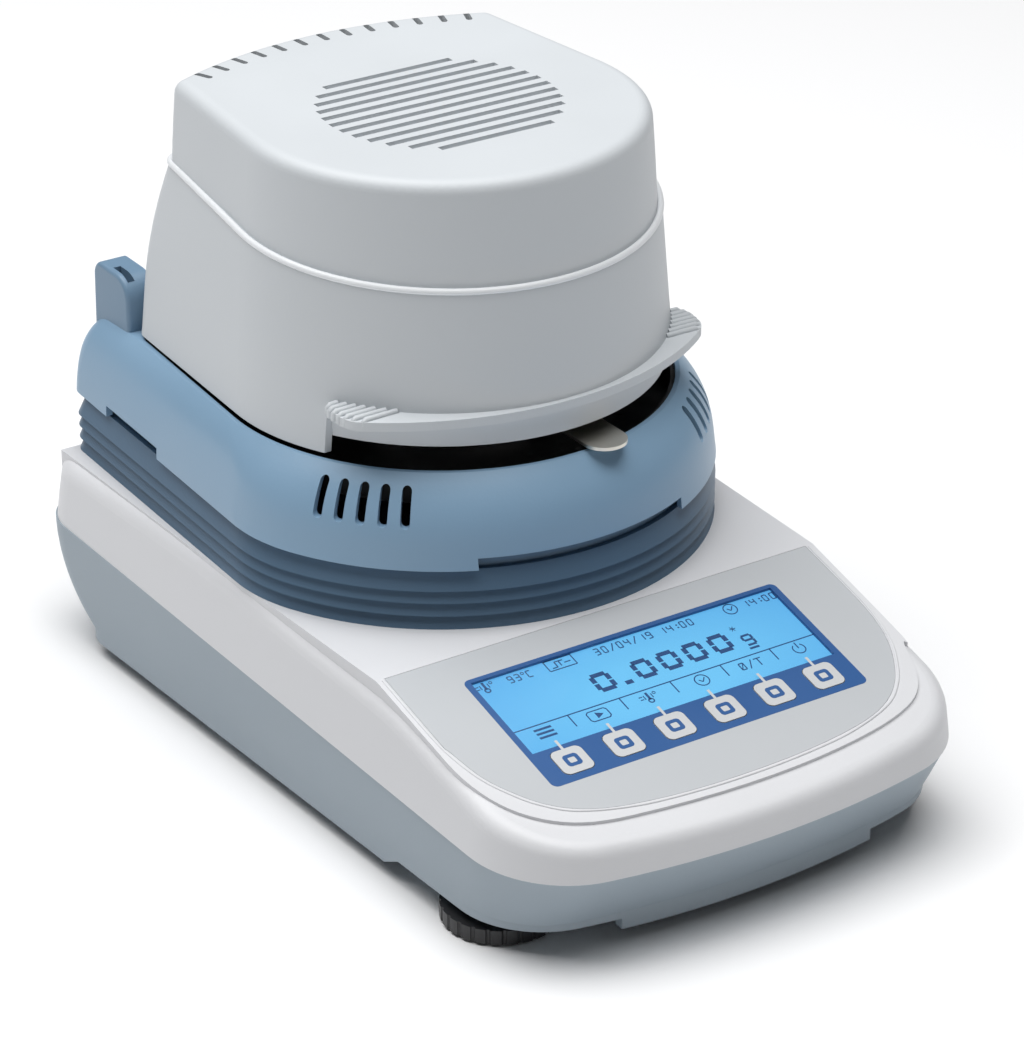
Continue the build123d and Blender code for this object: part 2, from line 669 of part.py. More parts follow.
with BuildPart() as collar_screws:
    with BuildSketch(Plane.XY.offset(70.4)):
        with Locations((62, PY - 50), (-62, PY - 50), (66, 120), (-66, 120)):
            Circle(3.2)
    extrude(amount=2.2)
    with BuildSketch(Plane.XY.offset(62.0)):
        with Locations((62, PY - 50), (-62, PY - 50), (66, 120), (-66, 120)):
            Circle(1.7)
    extrude(amount=8.4)
done(collar_screws, "collar_screws")

# ---------------------------------------------------------------- hood body
hood_secs = [  # z, r, w0, m, y_corner, bow
    (121.0, 79.9, 80.7, 0.058, 121.8, 12.0),
    (138.0, 78.5, 79.4, 0.066, 121.8, 12.0),
    (153.0, 77.2, 78.2, 0.078, 121.4, 12.5),
    (168.0, 75.95, 77.0, 0.095, 118.6, 13.5),
    (180.0, 74.95, 76.0, 0.11, 114.6, 14.5),
    (192.0, 73.95, 75.0, 0.12, 108.6, 15.0),
]
with BuildPart() as hood_body:
    for z, r, w, m, yc, bow in hood_secs:
        add(d_section(z, r, w, m, yc, bow, 7, 80))
    loft()
    # open top, cut on the sloping joint with the upper shell
    with BuildSketch(Plane.YZ.offset(-100)):
        with BuildLine():
            Polyline((-80, LEDGE_Z + LEDGE_K * (-80 - PY)), (160, LEDGE_Z + LEDGE_K * (160 - PY)), (160, 215), (-80, 215), close=True)
        make_face()
    extrude(amount=200, mode=Mode.SUBTRACT)
    # round the upper outer edge
    fillet([e for e in hood_body.edges() if e.center().Z > 170 and e.length > 3], radius=1.1)
    for z, r, w, m, yc, bow in hood_secs:
        add(d_section(z if z > 122 else 119.0, r - 2.2, w - 2.2, m, yc - 2.3, bow, 5, 80))
    loft(mode=Mode.SUBTRACT)
    # front below the lip is cut back to the side steps
    with Locations((0, PY - 37.5 - 60, LIP_Z0 - 20)):
        Box(200, 120, 40, mode=Mode.SUBTRACT)
    # crescent lip with rounded ends
    with BuildSketch(Plane.XY.offset(LIP_Z0)) as lip:
        with BuildLine():
            ThreePointArc((-66.2, PY - 58.6), (0, PY - 80.3), (66.2, PY - 58.6))
            Spline((66.2, PY - 58.6), (70.2, PY - 54.6), (71.8, PY - 49.0), (71.0, PY - 43.0), (68.4, PY - 38.2), tangents=((0.78, 0.62), (-0.75, 0.66)))
            Line((68.4, PY - 38.2), (60.0, PY - 37.6))
            Line((60.0, PY - 37.6), (-60.0, PY - 37.6))
            Line((-60.0, PY - 37.6), (-68.4, PY - 38.2))
            Spline((-68.4, PY - 38.2), (-71.0, PY - 43.0), (-71.8, PY - 49.0), (-70.2, PY - 54.6), (-66.2, PY - 58.6), tangents=((-0.75, -0.66), (0.78, -0.62)))
        make_face()
        with Locations((0, PY)):
            Circle(75.6, mode=Mode.SUBTRACT)
    extrude(amount=LIP_Z1 - LIP_Z0)
    # recessed skirt below the lip
    with BuildSketch(Plane.XY.offset(SKIRT_BOT)):
        with Locations((0, PY)):
            Circle(77.2)
            Circle(75.0, mode=Mode.SUBTRACT)
        with Locations((0, PY + 62.4)):
            Rectangle(200, 200, mode=Mode.SUBTRACT)
    extrude(amount=LIP_Z0 - SKIRT_BOT + 0.5)
    # lugs that reach back to the hinge pins
    for sgn in (-1, 1):
        with BuildSketch(Plane.YZ.offset(sgn * 60.2)):
            with BuildLine():
                Line((123.6, 124.6), (133.5, 125.8))
                ThreePointArc((133.5, 125.8), (138.7, 131.0), (133.5, 136.2))
                Polyline((133.5, 136.2), (123.6, 143.0), (123.6, 124.6))
            make_face()
        extrude(amount=sgn * 5.4)
    with Locations((62.9, HINGE_Y, HINGE_Z), (-62.9, HINGE_Y, HINGE_Z)):
        Cylinder(3.9, 6.4, rotation=(0, 90, 0), mode=Mode.SUBTRACT)
done(hood_body, "hood_body")

# ---------------------------------------------------------------- hood top shell
with BuildPart() as hood_top:
    for z, r, w, m, yc, bow in ((176.0, 73.4, 74.6, 0.10, 110.0, 15.0), (195.0, 72.4, 73.6, 0.10, 109.5, 15.0), (HOOD_TOP, 70.8, 72.0, 0.10, 108.6, 15.0)):
        add(d_section(z, r, w, m, yc, bow, 5, 80))
    loft()
    top = hood_top.faces().sort_by(Axis.Z)[-1]
    fillet(top.edges(), radius=4.8)
    for z, r, w, m, yc, bow in ((175.0, 71.2, 72.4, 0.10, 107.8, 15.0), (195.0, 70.2, 71.4, 0.10, 107.3, 15.0), (HOOD_TOP - 2.6, 68.7, 69.9, 0.10, 106.4, 15.0)):
        add(d_section(z, r, w, m, yc, bow, 4, 80))
    loft(mode=Mode.SUBTRACT)
    with BuildSketch(Plane.YZ.offset(-100)):
        with BuildLine():
            Polyline((-80, LEDGE_Z + LEDGE_K * (-80 - PY)), (160, LEDGE_Z + LEDGE_K * (160 - PY)), (160, 160), (-80, 160), close=True)
        make_face()
    extrude(amount=200, mode=Mode.SUBTRACT)
    # round louvred grille
    with BuildSketch(Plane.XY.offset(HOOD_TOP - 5)):
        for k in range(12):
            y = 33.93 - 6.19 * k
            half = math.sqrt(41.6 ** 2 - (y - 1.0) ** 2)
            with Locations((0, PY + y)):
                Rectangle(2 * half, 2.9)
    extrude(amount=8, mode=Mode.SUBTRACT)
    # thirteen vents along the rear edge
    for k in range(13):
        a = math.radians(3.57 * (k - 6))
        with BuildSketch(Plane.XY.offset(HOOD_TOP - 6)):
            with Locations(Location((147 * math.sin(a), PY - 70.0 + 147 * math.cos(a), 0), (0, 0, 90 - math.degrees(a)))):
                SlotOverall(7.6, 2.3)
        extrude(amount=9, mode=Mode.SUBTRACT)
done(hood_top, "hood_top")

# ---------------------------------------------------------------- heater
with BuildPart() as hood_liner:
    with BuildSketch(Plane.XY.offset(131.0)):
        with Locations((0, PY)):
            Circle(70.0)
            Circle(69.0, mode=Mode.SUBTRACT)
    extrude(amount=40)
    with BuildSketch(Plane.XY.offset(171.0)):
        with Locations((0, PY)):
            Circle(70.0)
            Circle(30.0, mode=Mode.SUBTRACT)
    extrude(amount=1.2)
done(hood_liner, "hood_liner")

with BuildPart() as reflector:
    with BuildSketch(Plane(origin=(0, PY, 0), x_dir=(1, 0, 0), z_dir=(0, -1, 0))):
        with BuildLine():
            Polyline((10, 162.0), (30, 160.5), (50, 154), (62, 143), (67, 140.0), (67, 141.2), (62.8, 144.0), (50.6, 155.2), (30.4, 161.7), (10, 163.2), close=True)
        make_face()
    revolve(axis=Axis((0, PY, 0), (0, 0, 1)))
done(reflector, "reflector")

with BuildPart() as heating_lamp:
    with BuildSketch(Plane(origin=(0, PY, 0), x_dir=(1, 0, 0), z_dir=(0, -1, 0))):
        with Locations((38, 147.0)):
            Circle(4.5)
    revolve(axis=Axis((0, PY, 0), (0, 0, 1)), revolution_arc=340)
done(heating_lamp, "heating_lamp")

with BuildPart() as protective_glass:
    with Locations((0, PY, 134.4)):
        Cylinder(64, 3)
done(protective_glass, "protective_glass")

with BuildPart() as glass_retainer:
    with BuildSketch(Plane.XY.offset(129.4)):
        with Locations((0, PY)):
            Circle(72.0)
            Circle(59.0, mode=Mode.SUBTRACT)
    extrude(amount=1.6)
    with BuildSketch(Plane.XY.offset(131.0)):
        with Locations((0, PY)):
            Circle(64.0)
            Circle(61.0, mode=Mode.SUBTRACT)
    extrude(amount=1.9)
done(glass_retainer, "glass_retainer")

with BuildPart() as lamp_holders:
    with Locations((36.5, PY - 12.2, 154.2), (38.0, PY + 5.6, 154.2)):
        Cylinder(2.0, 5.2)
done(lamp_holders, "lamp_holders")

with BuildPart() as temperature_sensor:
    with Locations((0, PY + 66, 127.4)):
        Box(12, 8, 4.0)
    with Locations((0, PY + 56, 127.0)):
        Cylinder(1.2, 18, rotation=(90, 0, 0))
done(temperature_sensor, "temperature_sensor")

with BuildPart() as hinge_bushes:
    for sgn in (-1, 1):
        with BuildSketch(Plane.YZ.offset(sgn * 60.2)):
            with Locations((HINGE_Y, HINGE_Z)):
                Circle(3.85)
                Circle(3.05, mode=Mode.SUBTRACT)
        extrude(amount=sgn * 5.4)
done(hinge_bushes, "hinge_bushes")

with BuildPart() as hinge_pins:
    with Locations((65.6, HINGE_Y, HINGE_Z), (-65.6, HINGE_Y, HINGE_Z)):
        Cylinder(3.0, 11.6, rotation=(0, 90, 0))
done(hinge_pins, "hinge_pins")
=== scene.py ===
import math
import bpy
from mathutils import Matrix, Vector
from mathutils.bvhtree import BVHTree
from mathutils.geometry import tessellate_polygon


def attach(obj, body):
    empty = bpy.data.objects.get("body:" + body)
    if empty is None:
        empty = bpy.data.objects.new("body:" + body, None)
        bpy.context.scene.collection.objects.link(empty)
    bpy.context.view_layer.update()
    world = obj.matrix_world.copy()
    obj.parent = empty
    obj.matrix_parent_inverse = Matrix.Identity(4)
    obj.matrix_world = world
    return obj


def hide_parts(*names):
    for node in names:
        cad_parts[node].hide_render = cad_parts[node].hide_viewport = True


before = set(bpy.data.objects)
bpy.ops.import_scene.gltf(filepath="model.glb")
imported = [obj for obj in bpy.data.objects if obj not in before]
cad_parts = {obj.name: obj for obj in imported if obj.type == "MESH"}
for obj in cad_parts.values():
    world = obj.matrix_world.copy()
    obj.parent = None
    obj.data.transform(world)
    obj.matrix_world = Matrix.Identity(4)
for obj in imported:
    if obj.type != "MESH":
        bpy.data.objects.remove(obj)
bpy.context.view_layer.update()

# ------------------------------------------------------------------ frame of the sloping panel
PY = 39.5
PANEL_Y, PANEL_Z, DEG = -69.3, 65.22, 13.69
SP, CP = math.sin(math.radians(DEG)), math.cos(math.radians(DEG))
PITCH, KEY_V = 20.1, 47.1
LEDGE_Z, LEDGE_K = 183.8, 0.047   # height and rise of the seam between hood body and top shell


def P(u, v, h):
    """Point on the panel: u to the right, v down the slope, h above it, all mm."""
    return (u / 1000, (PANEL_Y - v * CP - h * SP) / 1000, (PANEL_Z - v * SP + h * CP) / 1000)


def XY(x, y, h):
    return (x / 1000, y / 1000, h / 1000)


# ------------------------------------------------------------------ materials
MATS = {}


def mat(name, color, rough=0.4, metal=0.0, grain=0.0, grain_scale=900.0, vary=0.04, coat=0.0, spec=0.5, emit=None, emit_k=0.0):
    """Plain material with a moulded grain, slow colour drift and uneven gloss."""
    m = bpy.data.materials.new(name)
    m.use_nodes = True
    nt = m.node_tree
    b = nt.nodes["Principled BSDF"]
    b.inputs["Metallic"].default_value = metal
    b.inputs["Specular IOR Level"].default_value = spec
    b.inputs["Coat Weight"].default_value = coat
    b.inputs["Coat Roughness"].default_value = 0.12
    tc = nt.nodes.new("ShaderNodeTexCoord")
    slow = nt.nodes.new("ShaderNodeTexNoise")
    slow.inputs["Scale"].default_value = 18.0
    slow.inputs["Detail"].default_value = 3.0
    nt.links.new(tc.outputs["Object"], slow.inputs["Vector"])
    mix = nt.nodes.new("ShaderNodeMix")
    mix.data_type = "RGBA"
    mix.inputs[6].default_value = (*[c * (1 - vary) for c in color], 1)
    mix.inputs[7].default_value = (*[min(1, c * (1 + vary)) for c in color], 1)
    nt.links.new(slow.outputs["Fac"], mix.inputs[0])
    nt.links.new(mix.outputs[2], b.inputs["Base Color"])
    rr = nt.nodes.new("ShaderNodeMapRange")
    rr.inputs["From Min"].default_value = 0.3
    rr.inputs["From Max"].default_value = 0.7
    rr.inputs["To Min"].default_value = max(0.02, rough - 0.05)
    rr.inputs["To Max"].default_value = min(1.0, rough + 0.05)
    nt.links.new(slow.outputs["Fac"], rr.inputs["Value"])
    nt.links.new(rr.outputs["Result"], b.inputs["Roughness"])
    if grain > 0:
        n = nt.nodes.new("ShaderNodeTexNoise")
        n.inputs["Scale"].default_value = grain_scale
        n.inputs["Detail"].default_value = 2.0
        nt.links.new(tc.outputs["Object"], n.inputs["Vector"])
        bp = nt.nodes.new("ShaderNodeBump")
        bp.inputs["Strength"].default_value = grain
        bp.inputs["Distance"].default_value = 0.0002
        nt.links.new(n.outputs["Fac"], bp.inputs["Height"])
        nt.links.new(bp.outputs["Normal"], b.inputs["Normal"])
    if emit is not None:
        b.inputs["Emission Color"].default_value = (*emit, 1)
        b.inputs["Emission Strength"].default_value = emit_k
    MATS[name] = m
    return m


def brushed(name, color, rough=0.3, axis="X", ring=False):
    """Metal with drawn marks."""
    m = mat(name, color, rough, 1.0, 0.0, vary=0.03)
    nt = m.node_tree
    b = nt.nodes["Principled BSDF"]
    tc = [n for n in nt.nodes if n.bl_idname == "ShaderNodeTexCoord"][0]
    mp = nt.nodes.new("ShaderNodeMapping")
    k = {"X": (12, 900, 900), "Y": (900, 12, 900), "Z": (900, 900, 12)}[axis]
    mp.inputs["Scale"].default_value = k
    nt.links.new(tc.outputs["Object"], mp.inputs["Vector"])
    n = nt.nodes.new("ShaderNodeTexNoise")
    n.inputs["Scale"].default_value = 1.0
    nt.links.new(mp.outputs["Vector"], n.inputs["Vector"])
    bp = nt.nodes.new("ShaderNodeBump")
    bp.inputs["Strength"].default_value = 0.25
    bp.inputs["Distance"].default_value = 0.0001
    nt.links.new(n.outputs["Fac"], bp.inputs["Height"])
    nt.links.new(bp.outputs["Normal"], b.inputs["Normal"])
    return m


def clear(name, tint, gloss=0.06, rough=0.03):
    """Clear sheet: mostly see-through, with a soft reflection."""
    m = bpy.data.materials.new(name)
    m.use_nodes = True
    nt = m.node_tree
    nt.nodes.remove(nt.nodes["Principled BSDF"])
    out = [n for n in nt.nodes if n.bl_idname == "ShaderNodeOutputMaterial"][0]
    t = nt.nodes.new("ShaderNodeBsdfTransparent")
    t.inputs["Color"].default_value = (*tint, 1)
    g = nt.nodes.new("ShaderNodeBsdfGlossy")
    g.inputs["Roughness"].default_value = rough
    mx = nt.nodes.new("ShaderNodeMixShader")
    tc = nt.nodes.new("ShaderNodeTexCoord")
    n = nt.nodes.new("ShaderNodeTexNoise")
    n.inputs["Scale"].default_value = 40.0
    r = nt.nodes.new("ShaderNodeMapRange")
    r.inputs["To Min"].default_value = gloss * 0.8
    r.inputs["To Max"].default_value = gloss * 1.2
    nt.links.new(tc.outputs["Object"], n.inputs["Vector"])
    nt.links.new(n.outputs["Fac"], r.inputs["Value"])
    nt.links.new(r.outputs["Result"], mx.inputs[0])
    nt.links.new(t.outputs[0], mx.inputs[1])
    nt.links.new(g.outputs[0], mx.inputs[2])
    nt.links.new(mx.outputs[0], out.inputs["Surface"])
    MATS[name] = m
    return m


white = mat("white_shell_m", (0.70, 0.705, 0.725), 0.42, grain=0.10, vary=0.015)
hoodw = mat("hood_shell_m", (0.62, 0.65, 0.675), 0.46, grain=0.12, vary=0.015)
# lighter than the hood shell: painted highlight for the upward-facing ledge bead
ledge_highlight_paint = mat("hood_ledge_painted_highlight_m", (0.86, 0.88, 0.90), 0.36, grain=0.08, vary=0.015)
tray = mat("tray_m", (0.315, 0.375, 0.425), 0.45, grain=0.15, vary=0.02)
blue = mat("cover_m", (0.235, 0.375, 0.52), 0.38, grain=0.15, vary=0.03)
block = mat("hinge_block_m", (0.16, 0.26, 0.37), 0.40, grain=0.15, vary=0.03)
collar = mat("collar_m", (0.088, 0.155, 0.235), 0.42, grain=0.15, vary=0.03)
film = mat("film_m", (0.52, 0.54, 0.56), 0.38, grain=0.04, vary=0.01)
navy = mat("navy_m", (0.028, 0.105, 0.30), 0.35, grain=0.03, vary=0.01)
pale = mat("pale_print_m", (0.60, 0.61, 0.62), 0.35, grain=0.03, vary=0.01)
ink = mat("ink_m", (0.012, 0.07, 0.22), 0.5, vary=0.02)
board = mat("board_m", (0.02, 0.16, 0.06), 0.35, grain=0.2, vary=0.1)
chip = mat("chip_m", (0.015, 0.015, 0.017), 0.4, grain=0.1)
dark = mat("dark_m", (0.02, 0.021, 0.023), 0.4, grain=0.2, vary=0.1)
enamel = mat("enamel_m", (0.012, 0.012, 0.013), 0.55, grain=0.3, vary=0.1)
rubber = mat("rubber_m", (0.018, 0.018, 0.019), 0.75, grain=0.4, vary=0.1)
knob = mat("knob_m", (0.02, 0.02, 0.022), 0.38, grain=0.15, vary=0.1)
alu = brushed("alu_m", (0.80, 0.80, 0.81), 0.28)
steel = brushed("steel_m", (0.72, 0.69, 0.62), 0.38, "Y")
bright = brushed("bright_m", (0.75, 0.75, 0.74), 0.22)
cast = mat("cast_m", (0.45, 0.46, 0.47), 0.5, 1.0, grain=0.5, grain_scale=400)
brass = mat("brass_m", (0.72, 0.52, 0.22), 0.3, 1.0, grain=0.1)
copper = mat("copper_m", (0.70, 0.36, 0.18), 0.35, 1.0, grain=0.2)
ceramic = mat("ceramic_m", (0.75, 0.74, 0.70), 0.5, grain=0.2)
quartz = mat("quartz_m", (0.80, 0.78, 0.74), 0.18, grain=0.2)
red = mat("red_m", (0.5, 0.05, 0.04), 0.4, grain=0.05)
yellow = mat("capsleeve_m", (0.05, 0.08, 0.22), 0.3, grain=0.05)
plate_m = mat("plate_m", (0.55, 0.56, 0.57), 0.35, 0.6, grain=0.08)
window_m = clear("window_m", (0.97, 0.99, 1.0), 0.035, 0.12)
glass_m = clear("glass_m", (0.90, 0.95, 0.96), 0.10, 0.02)

# lit liquid-crystal field: brighter towards the middle of its lower part
lcd = bpy.data.materials.new("lcd_m")
lcd.use_nodes = True
nt = lcd.node_tree
bs = nt.nodes["Principled BSDF"]
bs.inputs["Roughness"].default_value = 0.5
bs.inputs["Base Color"].default_value = (0.02, 0.10, 0.20, 1)
tc = nt.nodes.new("ShaderNodeTexCoord")
mp = nt.nodes.new("ShaderNodeMapping")
mp.inputs["Location"].default_value = (0.0, 0.095 * 22, 0)
mp.inputs["Scale"].default_value = (10.0, 22.0, 0.0)
gr = nt.nodes.new("ShaderNodeTexGradient")
gr.gradient_type = "SPHERICAL"
cr = nt.nodes.new("ShaderNodeValToRGB")
cr.color_ramp.elements[0].position = 0.0
cr.color_ramp.elements[0].color = (0.075, 0.36, 0.73, 1)
cr.color_ramp.elements[1].position = 0.75
cr.color_ramp.elements[1].color = (0.17, 0.58, 0.90, 1)
nt.links.new(tc.outputs["Object"], mp.inputs["Vector"])
nt.links.new(mp.outputs["Vector"], gr.inputs["Vector"])
nt.links.new(gr.outputs["Fac"], cr.inputs["Fac"])
nt.links.new(cr.outputs["Color"], bs.inputs["Emission Color"])
bs.inputs["Emission Strength"].default_value = 0.85

# ------------------------------------------------------------------ mesh helpers
SLOT_OF = {}


def put(name, verts, faces, m, body, smooth=False, angle=0.6):
    me = bpy.data.meshes.new(name)
    me.from_pydata([tuple(v) for v in verts], [], faces)
    me.validate()
    me.update()
    o = bpy.data.objects.new(name, me)
    bpy.context.scene.collection.objects.link(o)
    me.materials.append(m)
    if smooth:
        for p in me.polygons:
            p.use_smooth = True
        try:
            me.set_sharp_from_angle(angle=angle)
        except Exception:
            pass
    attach(o, body)
    return o


class Soup:
    """Gathers solids that become one named mesh."""

    def __init__(self):
        self.v, self.f = [], []

    def prism(self, loops, h0, h1, fn):
        """Flat plate with holes: loops[0] outside, the others holes."""
        base = len(self.v)
        flat = []
        for lp in loops:
            flat += lp
        n = len(flat)
        for h in (h0, h1):
            self.v += [fn(a, b, h) for a, b in flat]
        tris = tessellate_polygon([[Vector((a, b, 0)) for a, b in lp] for lp in loops])
        for t in tris:
            self.f.append([base + i for i in t])
            self.f.append([base + n + i for i in reversed(t)])
        s = 0
        for lp in loops:
            k = len(lp)
            for i in range(k):
                j = (i + 1) % k
                self.f.append([base + s + i, base + s + j, base + n + s + j, base + n + s + i])
            s += k

    def rings(self, rings, cap0=True, cap1=True):
        """Skin through rings of equal length."""
        base = len(self.v)
        n = len(rings[0])
        for r in rings:
            self.v += r
        for k in range(len(rings) - 1):
            for i in range(n):
                j = (i + 1) % n
                a = base + k * n
                self.f.append([a + i, a + j, a + n + j, a + n + i])
        if cap0:
            self.f.append([base + i for i in reversed(range(n))])
        if cap1:
            self.f.append([base + (len(rings) - 1) * n + i for i in range(n)])

    def cyl(self, c, axis, r, length, n=24, r2=None):
        """Cylinder or cone starting at c (mm) and going along axis."""
        ax = Vector(axis).normalized()
        a = ax.orthogonal().normalized()
        b = ax.cross(a)
        r2 = r if r2 is None else r2
        out = []
        for d, rr in ((0, r), (length, r2)):
            o = Vector(c) + ax * d
            out.append([tuple((o + a * rr * math.cos(2 * math.pi * i / n) + b * rr * math.sin(2 * math.pi * i / n)) / 1000) for i in range(n)])
        self.rings(out)

    def turned(self, c, axis, prof, n=48):
        """Solid of revolution from (radius, distance) pairs along axis."""
        ax = Vector(axis).normalized()
        a = ax.orthogonal().normalized()
        b = ax.cross(a)
        out = []
        for rr, d in prof:
            o = Vector(c) + ax * d
            out.append([tuple((o + a * rr * math.cos(2 * math.pi * i / n) + b * rr * math.sin(2 * math.pi * i / n)) / 1000) for i in range(n)])
        self.rings(out, cap0=prof[0][0] > 0.01, cap1=prof[-1][0] > 0.01)

    def box(self, lo, hi):
        x0, y0, z0 = [c / 1000 for c in lo]
        x1, y1, z1 = [c / 1000 for c in hi]
        r0 = [(x0, y0, z0), (x1, y0, z0), (x1, y1, z0), (x0, y1, z0)]
        r1 = [(x0, y0, z1), (x1, y0, z1), (x1, y1, z1), (x0, y1, z1)]
        self.rings([r0, r1])

    def tube(self, pts, r, n=10, closed=False):
        pts = [Vector(p) for p in pts]
        out = []
        m = len(pts)
        up = Vector((0, 0, 1))
        for i, p in enumerate(pts):
            q = pts[(i + 1) % m] if (closed or i < m - 1) else p
            o = pts[i - 1] if (closed or i > 0) else p
            t = (q - o).normalized()
            s = t.cross(up)
            s = s.normalized() if s.length > 1e-4 else t.orthogonal().normalized()
            w = s.cross(t)
            out.append([tuple((p + s * r * math.cos(2 * math.pi * k / n) + w * r * math.sin(2 * math.pi * k / n)) / 1000) for k in range(n)])
        if closed:
            out.append(out[0])
        self.rings(out, cap0=not closed, cap1=not closed)

    def done(self, name, m, body, smooth=False, angle=0.6):
        return put(name, self.v, self.f, m, body, smooth, angle)


def rect(cx, cy, w, h):
    return [(cx - w / 2, cy - h / 2), (cx + w / 2, cy - h / 2), (cx + w / 2, cy + h / 2), (cx - w / 2, cy + h / 2)]


def rrect(cx, cy, w, h, r, n=8):
    out = []
    for sx, sy, a0 in ((1, 1, 0), (-1, 1, 90), (-1, -1, 180), (1, -1, 270)):
        for i in range(n + 1):
            a = math.radians(a0 + 90 * i / n)
            out.append((cx + sx * (w / 2 - r) + r * math.cos(a), cy + sy * (h / 2 - r) + r * math.sin(a)))
    return out


def ring_pts(cx, cy, r, n=40, a0=0.0, a1=360.0):
    return [(cx + r * math.cos(math.radians(a0 + (a1 - a0) * i / n)), cy + r * math.sin(math.radians(a0 + (a1 - a0) * i / n))) for i in range(n)]


# ------------------------------------------------------------------ finish of the CAD nodes
paint = {
    "base_tray": tray, "base_cover": white, "panel_overlay": film, "lcd_module": dark, "display_board": board,
    "key_domes": bright, "ribbed_collar": collar, "chamber_cover": blue, "hinge_housing": block, "heat_shield": enamel,
    "draft_shield": bright, "cell_casting": cast, "load_cell": alu, "main_board": board, "power_supply": board,
    "power_inlet": dark, "serial_port": bright, "usb_port": bright, "threaded_inserts": brass, "base_screws": bright,
    "collar_screws": bright, "hinge_pins": bright, "hood_body": hoodw, "hood_top": hoodw, "hood_liner": alu,
    "reflector": bright, "heating_lamp": quartz, "lamp_holders": ceramic, "protective_glass": glass_m,
    "glass_retainer": bright, "temperature_sensor": bright, "hinge_bushes": dark, "weighing_stem": alu,
    "pan_support": bright, "sample_pan": alu, "pan_handler": steel, "display_window": window_m,
}
for k in range(6):
    paint["key_%d" % (k + 1)] = pale
for k in range(4):
    paint["foot_pad_%d" % (k + 1)] = rubber
    paint["foot_wheel_%d" % (k + 1)] = knob
for name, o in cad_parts.items():
    o.data.materials.clear()
    o.data.materials.append(paint.get(name, white))

# ------------------------------------------------------------------ panel artwork
keys_u = [PITCH * (k - 2.5) for k in range(6)]
s = Soup()
holes = [rect(0, 20.6, 122.3, 38.7)] + [rrect(u, KEY_V, 12.1, 11.7, 2.6) for u in keys_u]
s.prism([rrect(0, 28.0, 125.8, 55.6, 2.4)] + holes, 0.0, 0.05, P)
s.done("navy_frame", navy, "base")

s = Soup()
for u in keys_u:
    s.prism([rect(u, 39.2, 1.0, 4.6)], 0.05, 0.09, P)
s.done("key_leader_lines", pale, "base")

for k, u in enumerate(keys_u):
    s = Soup()
    s.prism([rrect(u, KEY_V, 5.6, 5.4, 1.3), rrect(u, KEY_V, 2.7, 2.5, 0.5)], 0.24, 0.31, P)
    s.done("key_mark_%d" % (k + 1), navy, "key_%d" % (k + 1))

s = Soup()
s.prism([rect(0, 20.6, 122.28, 38.68), rect(0, 20.6, 121.0, 37.5)], -1.08, 0.04, P)
s.done("window_liner", navy, "base")
s = Soup()
s.prism([rrect(0, 20.6, 122.0, 38.4, 1.6)], -0.8, -0.02, P)
w = s.done("window_pane", window_m, "base")
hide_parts("display_window")
s = Soup()
s.prism([rect(0, 20.6, 121.8, 38.2)], -1.3, -1.12, P)
s.done("lcd_field", lcd, "base")

H0, H1 = -1.12, -1.04
SEG = {"0": "abcdef", "1": "bc", "2": "abged", "3": "abgcd", "4": "fgbc", "5": "afgcd", "6": "afgedc", "7": "abc", "8": "abcdefg", "9": "abfgcd", "C": "afed"}
s = Soup()


def seg(ch, x, y, w, h, t):
    """Seven-segment figure with its top left corner at x, y."""
    for c in SEG.get(ch, ""):
        g = t * 0.18
        if c == "a":
            r = (x + t * .6, y, x + w - t * .6, y + t)
        elif c == "d":
            r = (x + t * .6, y + h - t, x + w - t * .6, y + h)
        elif c == "g":
            r = (x + t * .6, y + h / 2 - t / 2, x + w - t * .6, y + h / 2 + t / 2)
        elif c == "f":
            r = (x, y + t * .6 + g, x + t, y + h / 2 - g)
        elif c == "e":
            r = (x, y + h / 2 + g, x + t, y + h - t * .6 - g)
        elif c == "b":
            r = (x + w - t, y + t * .6 + g, x + w, y + h / 2 - g)
        else:
            r = (x + w - t, y + h / 2 + g, x + w, y + h - t * .6 - g)
        s.prism([[(r[0], r[1]), (r[2], r[1]), (r[2], r[3]), (r[0], r[3])]], H0, H1, P)


def bar(x0, y0, x1, y1):
    s.prism([[(x0, y0), (x1, y0), (x1, y1), (x0, y1)]], H0, H1, P)


def hoop(cx, cy, r, t, a0=0, a1=360, n=24):
    o = [(cx + r * math.cos(math.radians(a0 + (a1 - a0) * i / n)), cy + r * math.sin(math.radians(a0 + (a1 - a0) * i / n))) for i in range(n + 1)]
    q = [(cx + (r - t) * math.cos(math.radians(a0 + (a1 - a0) * i / n)), cy + (r - t) * math.sin(math.radians(a0 + (a1 - a0) * i / n))) for i in range(n + 1)]
    for i in range(n):
        s.prism([[o[i], o[i + 1], q[i + 1], q[i]]], H0, H1, P)


def line(x0, y0, x1, y1, t):
    d = math.hypot(x1 - x0, y1 - y0)
    nx, ny = -(y1 - y0) / d * t / 2, (x1 - x0) / d * t / 2
    s.prism([[(x0 + nx, y0 + ny), (x1 + nx, y1 + ny), (x1 - nx, y1 - ny), (x0 - nx, y0 - ny)]], H0, H1, P)


# large reading
seg("0", -22.6, 13.6, 7.6, 9.0, 1.8)
bar(-12.2, 20.9, -9.4, 22.7)
for i in range(4):
    seg("0", -6.4 + 10.35 * i, 13.6, 7.6, 9.0, 1.8)
# unit sign and stable mark
seg("9", 36.4, 17.6, 4.4, 5.6, 0.9)
bar(36.4, 24.0, 40.2, 24.9)
for a in (0, 60, 120):
    line(36.6 - 1.2 * math.cos(math.radians(a)), 13.6 - 1.2 * math.sin(math.radians(a)), 36.6 + 1.2 * math.cos(math.radians(a)), 13.6 + 1.2 * math.sin(math.radians(a)), 0.28)


